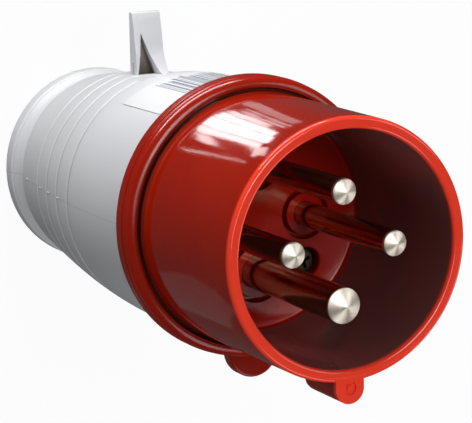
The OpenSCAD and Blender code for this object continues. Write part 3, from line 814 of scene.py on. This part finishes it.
nut_grey = satin("nut_plastic", (0.55, 0.55, 0.57), (0.51, 0.51, 0.53), 0.45, 3.0, 0.03)
white_acetal = satin("white_plastic", (0.78, 0.77, 0.73), (0.74, 0.73, 0.69), 0.4, 2.0, 0.015)
black_plastic = satin("black_plastic", (0.03, 0.03, 0.032), (0.04, 0.04, 0.042), 0.55, 2.5, 0.04)
rubber = satin("black_rubber", (0.025, 0.025, 0.025), (0.035, 0.034, 0.033), 0.75, 1.6, 0.05)
# painted shade: the front screws are painted a dark brown for the shade in their deep hollows
screw_steel_shade = satin(
    "screw_steel_painted_shade", (0.11, 0.078, 0.055), (0.08, 0.056, 0.04), 0.5, 1.4, 0.01, 1.0)
zinc = satin("zinc_steel", (0.62, 0.62, 0.60), (0.55, 0.55, 0.52), 0.34, 1.4, 0.01, 1.0)
print("finishes so far", len(bpy.data.materials))

# %% [markdown]
# ## Front screws
# Two screws hold the shroud on the handle. Their heads lie deep in the base wall, and each head has
# a cross recess that narrows downwards, so its two bars are tapered before they are cut out.

# %% Front screws
SCREW_LOW, SCREW_TOP = (cad_side("front_screw_1", end, Z) for end in (LOW, HIGH))
CROSS_TURN, CROSS_TAPER = 20, 0.55
screw = turned("screw", [
    (0, SCREW_LOW), (SHANK_R - 0.5, SCREW_LOW), (SHANK_R, SCREW_LOW + 0.7), (SHANK_R, FLANGE_TOP),
    (HEAD_R, FLANGE_TOP), (HEAD_R, SCREW_TOP - 0.9),
    *arc((HEAD_R - 0.8, SCREW_TOP - 0.8), 0.8, 0, 90, 5), (0, SCREW_TOP)], steps=72)
for quarter in (0, 90):
    slot = bar("slot", (-0.45, -1.9, SCREW_TOP - 1.2), (0.45, 1.9, SCREW_TOP + 0.5))
    edit(slot)
    pick(slot, "faces", lambda f: f.normal.z < -0.9)
    bpy.ops.transform.resize(value=(CROSS_TAPER, CROSS_TAPER, 1))
    bpy.ops.object.mode_set(mode="OBJECT")
    slot.rotation_euler = (0, 0, radians(quarter + CROSS_TURN))
    combine(screw, settle(slot), "DIFFERENCE")
for index, a in enumerate(SCREW_ANGLES, 1):
    piece = copy_of(screw, f"cross_screw_{index}", move=(*on_circle(SCREW_CIRCLE, a), 0))
    shaded(piece, screw_steel_shade, stands_for=[f"front_screw_{index}"])
discard(screw)

# %% [markdown]
# ## The handle
# The handle is a hollow taper with a rear ring, a cove, four grip grooves and a tall catch fin. The
# round part is spun with its hollow inside. Small nubs of the mould stand on its parting line, and
# a shallow flat is cut where the fin's foot lies. The fin is drawn as a plate that widens at its
# foot, then joined on.

# %% Handle: sizes
HANDLE_R, HANDLE_TOP = cad_side("handle", HIGH, X), cad_side("handle", HIGH, Z)
RING_R, RING_TOP, NECK_R, WALL = 21.75, 4, 21.45, 2.6
TAPER_LOW, TAPER_LONG = 10, 50
GROOVE_LOW, GROOVE_PITCH, GROOVE_HALF, GROOVE_DEEP = 23.2, 7.3, 0.65, 0.5
GROOVES = [GROOVE_LOW + GROOVE_PITCH * i for i in range(4)]
FIN_TOP, FIN_Z, FIN_HALF = cad_side("handle", HIGH, Y), 28.7, 3.3
FOOT, FOOT_Y = 37.3, 23.4
HOLLOW_Z, HOLLOW_TOP = 29.6, 32.2
ENTRY_R, ENTRY_TOP, BORE_R, BORE_TOP = 17.6, 3, 16.8, 16
SEAT_R, SEAT_TOP, CABLE_HOLE_R = 14.1, 27, 9.1
CUP_R, CUP_LOW, CUP_TOP = 16.6, 19, 30
print("handle", HANDLE_R, "by", HANDLE_TOP, "fin up to", FIN_TOP)


# %% [markdown]
# ## Grey plastic
# The handle is a satin plastic with a fine grain from its mould. The grooves are painted darker
# as painted shade, the parting line is a thin darker seam, and the hollow in the fin is painted
# as brown shade that is darkest at its foot.

# %% Finish of the handle
GREY, GREY_DRIFT = (0.69, 0.69, 0.71), (0.655, 0.655, 0.68)
# the groove colour is painted shade
GROOVE_SHADE, SEAM_GREY = (0.26, 0.25, 0.25), (0.34, 0.33, 0.33)
# painted shade for the hollow in the fin, darkest at its foot
HOLLOW_SHADE_DARK, HOLLOW_SHADE_PALE = (0.11, 0.09, 0.06), (0.34, 0.31, 0.27)


def grey_plastic():
    finish = Finish("grey_plastic", GREY, 0.42)
    spot = finish.coordinates()
    x, y, z = finish.axes(spot)
    ring = (x * x + y * y) ** 0.5
    drift = finish.noise(spot, 0.05, 3.0)
    colour = finish.mix(drift.rise(0.3, 0.7), GREY, GREY_DRIFT)
    # painted shade: the grooves are darkened in colour
    wave = ((z - GROOVE_LOW) * (2 * pi / GROOVE_PITCH) + pi / 2).sine()
    groove = wave.rise(0.90, 0.99) * (z > GROOVES[0] - 1.2) * (z < GROOVES[-1] + 1.4)
    groove = groove * (ring < HANDLE_R + 0.1)
    colour = finish.mix(groove * 0.55, colour, GROOVE_SHADE)
    parting = (abs(y) < 0.16) * (ring > 19.0) * (z < HANDLE_TOP - 1.2)
    colour = finish.mix(parting * 0.2, colour, SEAM_GREY)
    # painted shade: the hollow in the fin is painted brown, darkest at its foot and paler higher up
    pocket = (ring > FOOT_Y - 0.8) * (y > FOOT_Y - 1.4) * (y < HOLLOW_TOP + 0.4)
    pocket = pocket * (abs(x) < FIN_HALF - 0.3)
    pocket = pocket * (z > HOLLOW_Z - 0.5) * z.rise(HOLLOW_Z + 1.4, HOLLOW_Z + 0.2)
    height = y.rise(FOOT_Y - 0.4, HOLLOW_TOP + 0.3)
    hollow_shade = finish.mix(height, HOLLOW_SHADE_DARK, HOLLOW_SHADE_PALE)
    colour = finish.mix(pocket, colour, hollow_shade)
    grain = finish.noise(spot, 3.2, 4.0, 0.6)
    return finish.feed(
        Base_Color=colour, Roughness=grain * 0.16 + 0.34,
        Normal=finish.bump(grain + parting * 1.5, 0.03, 0.6))


grey = grey_plastic()
print("made", grey.name)


# %% Handle: outline
def taper(z):
    """Outer radius of the handle at a height."""
    along = min(1, max(0, (z - TAPER_LOW) / TAPER_LONG))
    return NECK_R + (HANDLE_R - NECK_R) * sin(radians(90 * along))


def grooved(z):
    """The same with its rounded grooves."""
    near = min(abs(z - g) for g in GROOVES)
    if near >= GROOVE_HALF:
        return taper(z)
    return taper(z) - GROOVE_DEEP * cos(pi * near / (2 * GROOVE_HALF)) ** 2


heights = sorted({round(TAPER_LOW + TAPER_LONG * i / 36, 3) for i in range(37)} | {
    round(g + GROOVE_HALF * k / 5, 3) for g in GROOVES for k in range(-5, 6)})
cove = [(RING_R + (NECK_R - RING_R) * s - 1.5 * sin(pi * s), RING_TOP + (TAPER_LOW - RING_TOP) * s)
        for s in (i / 14 for i in range(1, 14))]
inner = [(taper(z) - WALL, z) for z in (*range(58, CUP_LOW, -2), CUP_LOW)]
handle = turned("grey_handle", [
    (ENTRY_R, 0), *arc((RING_R - 0.8, 0.8), 0.8, -90, 0, 6),
    *arc((RING_R - 0.8, RING_TOP - 0.8), 0.8, 0, 60, 5), *cove,
    *[(grooved(z), z) for z in heights], (HANDLE_R, HANDLE_TOP - 0.4), (HANDLE_R - 0.4, HANDLE_TOP),
    (HANDLE_R - WALL, HANDLE_TOP), *inner, (CUP_R, CUP_LOW), (CUP_R, CUP_TOP),
    (CABLE_HOLE_R, CUP_TOP), (CABLE_HOLE_R, SEAT_TOP), (SEAT_R, SEAT_TOP), (SEAT_R, BORE_TOP),
    (BORE_R, BORE_TOP), (BORE_R, ENTRY_TOP), (ENTRY_R, ENTRY_TOP)])
print("handle faces", len(handle.data.polygons))

# %% Handle: screw posts and grommet seat
# The posts reach into the seat of the grommet, so the seat is cut once more after them.
POST_R, POST_LOW, POST_TOP, POST_HOLE_R = 3.4, 18, 71, 1.75
for a in SCREW_ANGLES:
    centre = on_circle(SCREW_CIRCLE, a)
    combine(handle, rod("post", centre, POST_R, POST_LOW, POST_TOP, 64), "UNION")
    combine(handle, rod("post_hole", centre, POST_HOLE_R, 50, 77, 48), "DIFFERENCE")
combine(handle, rod("seat", (0, 0), SEAT_R, BORE_TOP - 1, SEAT_TOP, 96), "DIFFERENCE")
print("posts added, handle faces", len(handle.data.polygons))

# %% Handle: nubs of the mould
NUB_HEIGHTS, NUB_R, NUB_SUNK, NUB_HALF = (14, 25.6, 32, 39), 0.38, 0.26, 0.7
nub = rod("nub", (0, 0), NUB_R, -NUB_HALF, NUB_HALF, 24)
rounded(nub, 0.16, 2, 50)
for height in NUB_HEIGHTS:
    for side in (-1, 1):
        place = (side * (taper(height) - NUB_SUNK), 0, height)
        combine(handle, copy_of(nub, "nub_copy", move=place), "UNION")
discard(nub)
print("nubs added, handle faces", len(handle.data.polygons))

# %% Handle: flat under the fin
FLAT_Y, FLAT_TOP = 23.1, 50
flat = bar("flat", (-12, FLAT_Y, 21), (12, 30, FLAT_TOP))
edit(flat)
pick(flat, "verts", lambda v: v.co.y < (FLAT_Y + 0.1) * MM and v.co.z > (FLAT_TOP - 1) * MM)
bpy.ops.transform.translate(value=(0, 1.1 * MM, -3 * MM))
close(flat, "flat")
combine(handle, flat, "DIFFERENCE")
print("flat cut, handle faces", len(handle.data.polygons))

# %% Catch fin
# The outline's points are (height, distance from the axis): back, top, front, then the foot.
SUNK_Y, FRONT_Z, FOOT_RISE = 21.9, 31.85, 5.0
front = [(30.0, FIN_TOP), (30.25, 36.5), (30.6, 35.0), (31.0, 33.3), (31.35, 31.5), (31.65, 29.8)]
foot = [(FOOT + (FRONT_Z - FOOT) * s, FOOT_Y + FOOT_RISE * s ** 3)
        for s in (i / 10 for i in range(10, 0, -1))]
fin_line = [(FIN_Z, SUNK_Y), (FIN_Z, FIN_TOP), *front, *foot, (FOOT, FOOT_Y), (FOOT, FOOT_Y - 0.9)]
fin = traced([(-FIN_HALF, y, z) for z, y in fin_line + fin_line[:1]])
merge_doubles(0.001)
bpy.ops.mesh.edge_face_add()
bpy.ops.mesh.extrude_region_move(TRANSFORM_OT_translate={"value": (2 * FIN_HALF * MM, 0, 0)})
close(fin, "fin")
rounded(fin, 0.25, 3, 50)
print("fin faces", len(fin.data.polygons))

# %% [markdown]
# ## Hollow in the fin's front
# The mould leaves a pointed hollow in the fin, so that the plastic isn't too thick there. It is a
# wedge that is widest at the foot. On the one side of it the foot is trimmed away, and on the other
# side it keeps its curve.

# %% Hollow in the fin's front
WEDGE_TIP_X = -1.75
wedge = bar("fin_hollow", (-2.95, 22.4, HOLLOW_Z), (1.9, HOLLOW_TOP, 42))
edit(wedge)
pick(wedge, "verts", lambda v: v.co.y > 30 * MM)
bpy.ops.transform.resize(value=(0.02, 1, 1), center_override=(WEDGE_TIP_X * MM, 0, 0))
close(wedge, "fin_hollow")
combine(fin, bar("trim", (-4, 22.4, 32.0), (0, 28.4, 42)), "DIFFERENCE")
combine(fin, wedge, "DIFFERENCE")
combine(handle, fin, "UNION")
shaded(handle, grey, stands_for=["handle"], angle=28)

# %% [markdown]
# ## Cable gland
# The nut screws into the rear bore and presses the grommet through a slip ring. Its rear face has a
# ring pocket crossed by grip ribs. The thread itself is too fine for the solids, so it is a row of
# ridges here, which look the same from outside.

# %% Gland nut
NUT_LOW, NUT_TOP = (cad_side("gland_nut", end, Z) for end in (LOW, HIGH))
THREAD_R, THREAD_DEEP, RIDGES = cad_side("gland_nut", HIGH, X), 0.5, 8
NUT_BORE, GRIP_RIBS = 8.6, 8
thread = [(THREAD_R - (THREAD_DEEP if i % 2 else 0), NUT_LOW + 0.6 + i) for i in range(RIDGES)]
nut = turned("ribbed_gland_nut", [
    (NUT_BORE, NUT_TOP), (NUT_BORE, NUT_LOW + 0.3), (NUT_BORE + 0.3, NUT_LOW), (9.9, NUT_LOW),
    (10.2, NUT_LOW + 0.3), (10.2, 8), (14.32, 8), (14.32, NUT_LOW + 0.3), (14.6, NUT_LOW),
    (16.3, NUT_LOW), (16.5, NUT_LOW + 0.4), *thread, (16.4, NUT_TOP)], steps=128)
grip = bar("grip", (9.4, -0.8, NUT_LOW + 0.8), (15.5, 0.8, 8.5))
rounded(grip, 0.25, 2, 60)
for i in range(GRIP_RIBS):
    combine(nut, copy_of(grip, "grip_copy", turn=360 * (i + 0.5) / GRIP_RIBS), "UNION")
discard(grip)
shaded(nut, nut_grey, "nut", ["gland_nut"])

# %% Slip ring
SLIP_LOW, SLIP_TOP = (cad_side("slip_ring", end, Z) for end in (LOW, HIGH))
SLIP_R, EDGE = cad_side("slip_ring", HIGH, X), 0.2
slip = turned("slip_washer", [
    (NUT_BORE, SLIP_LOW + EDGE), (NUT_BORE + EDGE, SLIP_LOW), (SLIP_R - EDGE, SLIP_LOW),
    (SLIP_R, SLIP_LOW + EDGE), (SLIP_R, SLIP_TOP - EDGE), (SLIP_R - EDGE, SLIP_TOP),
    (NUT_BORE + EDGE, SLIP_TOP), (NUT_BORE, SLIP_TOP - EDGE)], steps=96)
shaded(slip, white_acetal, "ring", ["slip_ring"])

# %% Grommet
BUSH_LOW, BUSH_TOP = (cad_side("grommet", end, Z) for end in (LOW, HIGH))
BUSH_R, BUSH_BORE, FOLDS = cad_side("grommet", HIGH, X), 6.5, 10
folds = [(BUSH_BORE + (0.25 if i % 2 else 0), BUSH_TOP - 2 - i) for i in range(FOLDS)]
bush = turned("rubber_bush", [
    (BUSH_BORE, BUSH_LOW + 0.3), (BUSH_BORE + 0.3, BUSH_LOW), (BUSH_R - 0.3, BUSH_LOW),
    (BUSH_R, BUSH_LOW + 0.3), (BUSH_R, BORE_TOP), (14, BORE_TOP), (14, 25), (12.5, BUSH_TOP),
    (BUSH_BORE + 0.3, BUSH_TOP), (BUSH_BORE, BUSH_TOP - 0.3), *folds], steps=96)
shaded(bush, rubber, "root", ["grommet"])

# %% [markdown]
# ## Label
# A paper label is wrapped round the top of the handle between the fin and the collar. It could be
# painted on by the handle's finish, but as a thin sheet of its own it has an edge that catches the
# light. It stays blank, with plain bars in place of print.

# %% Finish of the label
LABEL_LOW, LABEL_TOP, LABEL_FROM, LABEL_TO = 53.0, 73.0, 52.5, 127.5
BARS_FROM, BARS_TO = 55.0, 112.0
PAPER_WHITE, BAR_BLUE = (0.72, 0.73, 0.74), (0.13, 0.15, 0.21)


def label_paper():
    finish = Finish("label_paper", PAPER_WHITE, 0.5)
    spot = finish.coordinates()
    x, y, z = finish.axes(spot)
    angle = y.angle_to(x) * (180 / pi)
    stripes = finish.node("ShaderNodeTexNoise", {"noise_dimensions": "1D"}, {
        "W": angle * 0.95, "Scale": 1.0, "Detail": 2.0, "Roughness": 0.6}, "Fac")
    ends = finish.node("ShaderNodeTexWhiteNoise", {"noise_dimensions": "1D"}, {
        "W": (angle * 0.8).floor()}, "Value")
    bars = (stripes > 0.5) * (z > (ends * 4.0 + (LABEL_LOW + 1.6))) * (z < LABEL_TOP - 1.5)
    bars = bars * (angle < BARS_TO) * (angle > BARS_FROM)
    colour = finish.mix(bars, PAPER_WHITE, BAR_BLUE)
    fibre = finish.noise(spot, 4.0, 4.0)
    return finish.feed(Base_Color=colour, Roughness=fibre * 0.1 + 0.45,
                       Normal=finish.bump(fibre, 0.01, 0.5))


paper = label_paper()
print("made", paper.name)

# %% Label
PAPER_GAP, PAPER_THICK, PAPER_ROWS = 0.12, 0.08, 10
rows = [LABEL_LOW + (LABEL_TOP - LABEL_LOW) * i / PAPER_ROWS for i in range(PAPER_ROWS + 1)]
label = traced([(*on_circle(taper(z) + PAPER_GAP, LABEL_TO), z) for z in rows])
bpy.ops.mesh.spin(steps=48, angle=radians(LABEL_TO - LABEL_FROM), center=(0, 0, 0), axis=(0, 0, 1))
bpy.ops.mesh.select_all(action="SELECT")
bpy.ops.mesh.normals_make_consistent(inside=False)
bpy.ops.object.mode_set(mode="OBJECT")
named(label, "paper_label")
angles = [degrees(atan2(v.co.y, v.co.x)) for v in label.data.vertices]
print("label from", round(min(angles), 1), "to", round(max(angles), 1))
thick = label.modifiers.new("thickness", "SOLIDIFY")
thick.thickness, thick.offset = PAPER_THICK * MM, 0
apply_modifier(label, thick)
shaded(label, paper)

# %% [markdown]
# ## Pieces inside
# The terminal screws, the cord bridge, the clamp and the seal lie inside and keep their solids.
# They still get a real finish, because they show when the plug is opened.

# %% Finishes of the pieces inside
INSIDE = {"seal_ring": rubber, "cord_bridge": black_plastic, "clamp_saddle": black_plastic,
          "bridge_screw": zinc, "clamp_screw_1": zinc, "clamp_screw_2": zinc,
          **{"terminal_screw_" + side: zinc for side in ("left", "top", "right", "earth")}}
for name, finish in INSIDE.items():
    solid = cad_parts[name]
    solid.data.materials.clear()
    solid.data.materials.append(finish)
print("finished solids", len(INSIDE))
